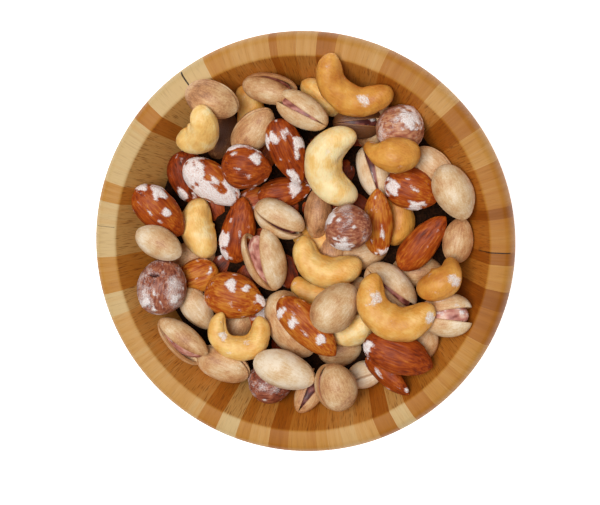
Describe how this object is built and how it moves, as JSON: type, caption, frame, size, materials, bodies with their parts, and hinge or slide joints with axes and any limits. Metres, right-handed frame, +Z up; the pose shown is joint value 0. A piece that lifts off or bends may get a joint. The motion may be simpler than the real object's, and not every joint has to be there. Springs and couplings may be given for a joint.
{
  "type": "bowl of mixed nuts",
  "caption": "Round laminated bamboo bowl on a flat base, heaped to its rim with salted almonds, cashews, hazelnuts and pistachios in their shells.",
  "frame": {"origin": "middle of the bowl's flat base, on the surface that it stands on", "axes": "+Z up out of the bowl, +Y towards the top of the reference view, +X to its right"},
  "size_m": [0.141, 0.141, 0.0725],
  "materials": {
    "bamboo": "laminated bamboo strips under a clear satin varnish",
    "nuts": "dry roasted nuts and shells, matt with patches of salt"
  },
  "bodies": {
    "root": {"bamboo_bowl": "bamboo", "mixed_nuts": "nuts"}
  },
  "joints": []
}
